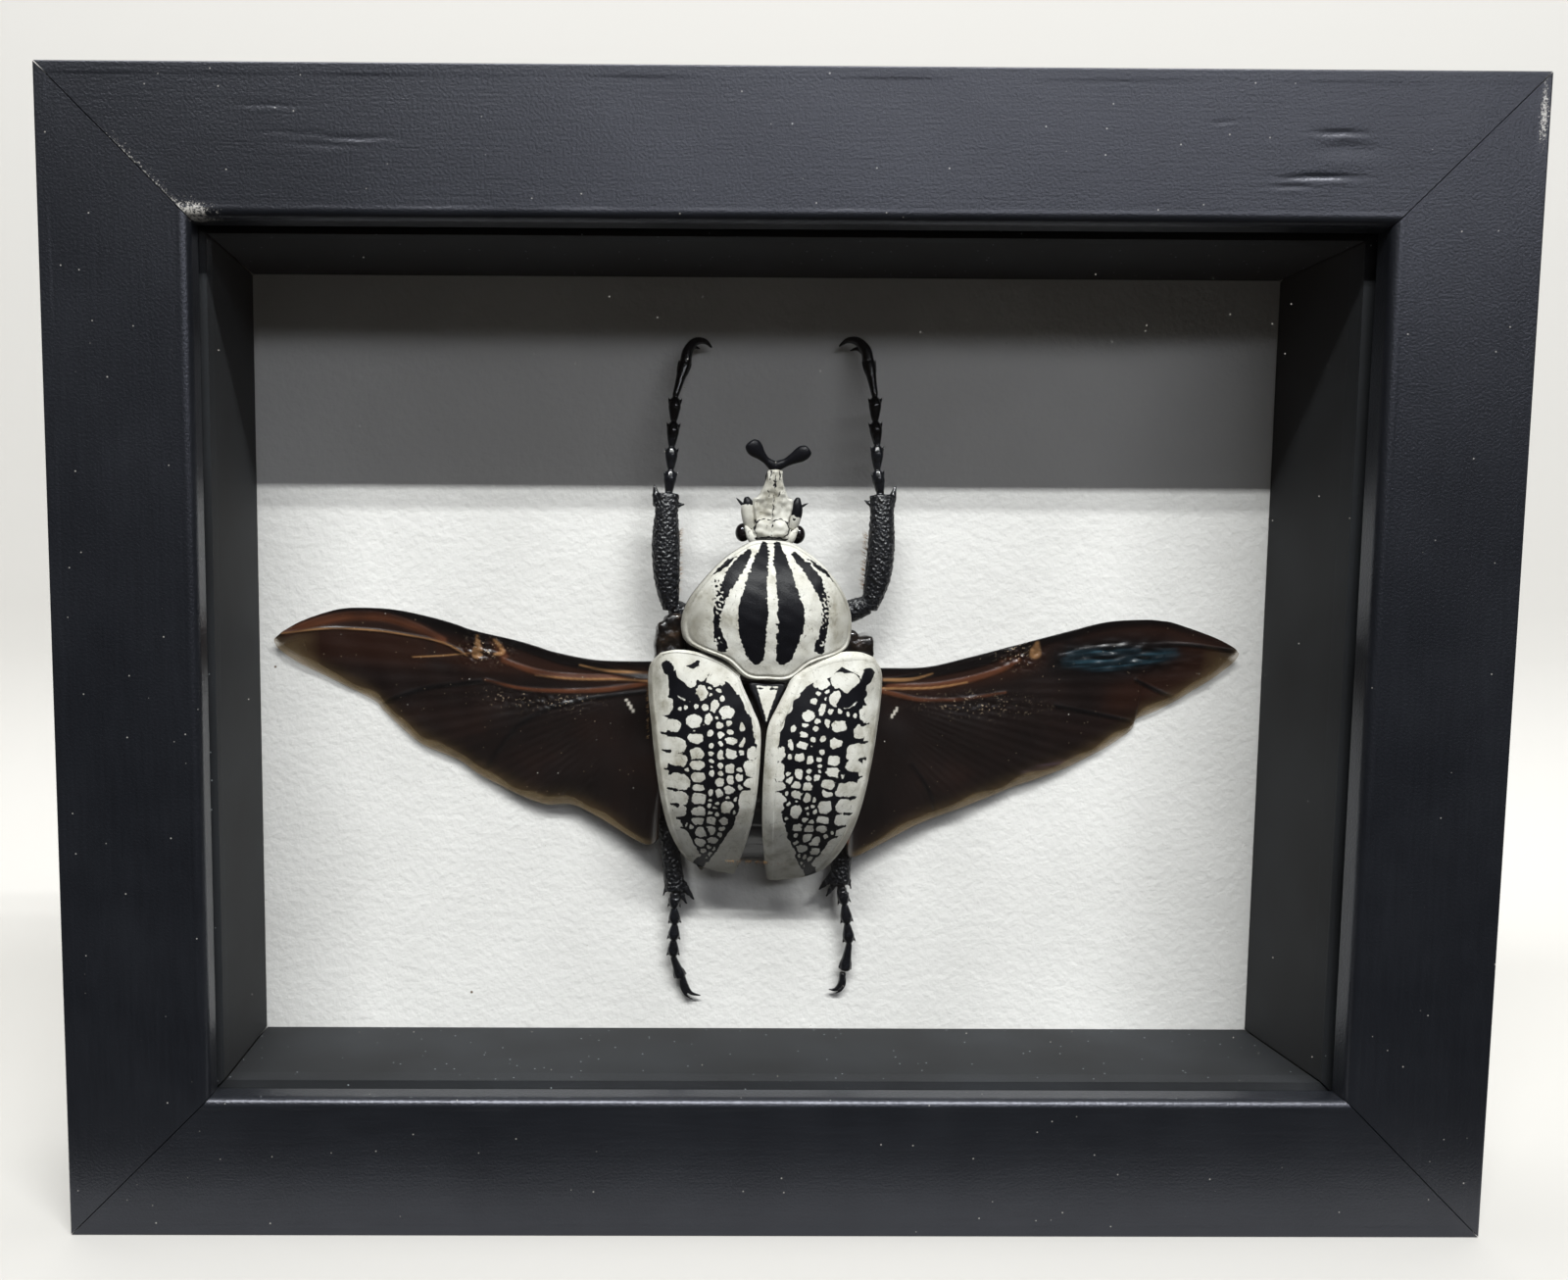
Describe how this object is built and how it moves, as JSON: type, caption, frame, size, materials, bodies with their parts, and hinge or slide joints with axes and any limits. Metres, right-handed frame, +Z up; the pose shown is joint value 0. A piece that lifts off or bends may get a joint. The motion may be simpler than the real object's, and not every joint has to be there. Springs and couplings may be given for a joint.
{
  "type": "framed goliath beetle",
  "caption": "Mounted goliath beetle with spread hind wings on a white card, behind glass in a small black shadow box frame.",
  "frame": {"origin": "middle of the frame's underside, where it stands", "axes": "+Z up, the glazed front faces -Y, +X is to the right seen from the front"},
  "size_m": [0.254, 0.046, 0.2032],
  "materials": {
    "black_painted_wood": "satin black paint over softwood, with chips and dents",
    "clear_glass": "clear picture glass",
    "black_spacer_board": "matte black board, dusty",
    "white_card": "cold pressed, fine tooth",
    "brown_hardboard": "smooth brown hardboard",
    "zinc_plated_steel": "zinc plated",
    "patterned_cuticle": "chalky white with black marks",
    "brown_cuticle": "satin brown to black",
    "wing_membrane": "glossy, thin, slightly see-through at its edges",
    "black_cuticle": "black, pitted and glossy"
  },
  "bodies": {
    "root": {"frame_rail_bottom": "black_painted_wood", "frame_rail_top": "black_painted_wood", "frame_rail_left": "black_painted_wood", "frame_rail_right": "black_painted_wood", "glass_pane": "clear_glass", "spacer_bottom": "black_spacer_board", "spacer_top": "black_spacer_board", "spacer_left": "black_spacer_board", "spacer_right": "black_spacer_board", "backing_card": "white_card", "back_board": "brown_hardboard", "retaining_tab_bottom_1": "zinc_plated_steel", "retaining_tab_bottom_2": "zinc_plated_steel", "retaining_tab_top_1": "zinc_plated_steel", "retaining_tab_top_2": "zinc_plated_steel", "retaining_tab_left_1": "zinc_plated_steel", "retaining_tab_left_2": "zinc_plated_steel", "retaining_tab_right_1": "zinc_plated_steel", "retaining_tab_right_2": "zinc_plated_steel", "head_with_horn": "patterned_cuticle", "pronotum": "patterned_cuticle", "scutellum": "patterned_cuticle", "elytron_left": "patterned_cuticle", "elytron_right": "patterned_cuticle", "thorax_and_abdomen": "brown_cuticle", "hindwing_left": "wing_membrane", "hindwing_right": "wing_membrane", "foreleg_left": "black_cuticle", "foreleg_right": "black_cuticle", "midleg_left": "black_cuticle", "midleg_right": "black_cuticle", "hindleg_left": "black_cuticle", "hindleg_right": "black_cuticle"}
  },
  "joints": []
}
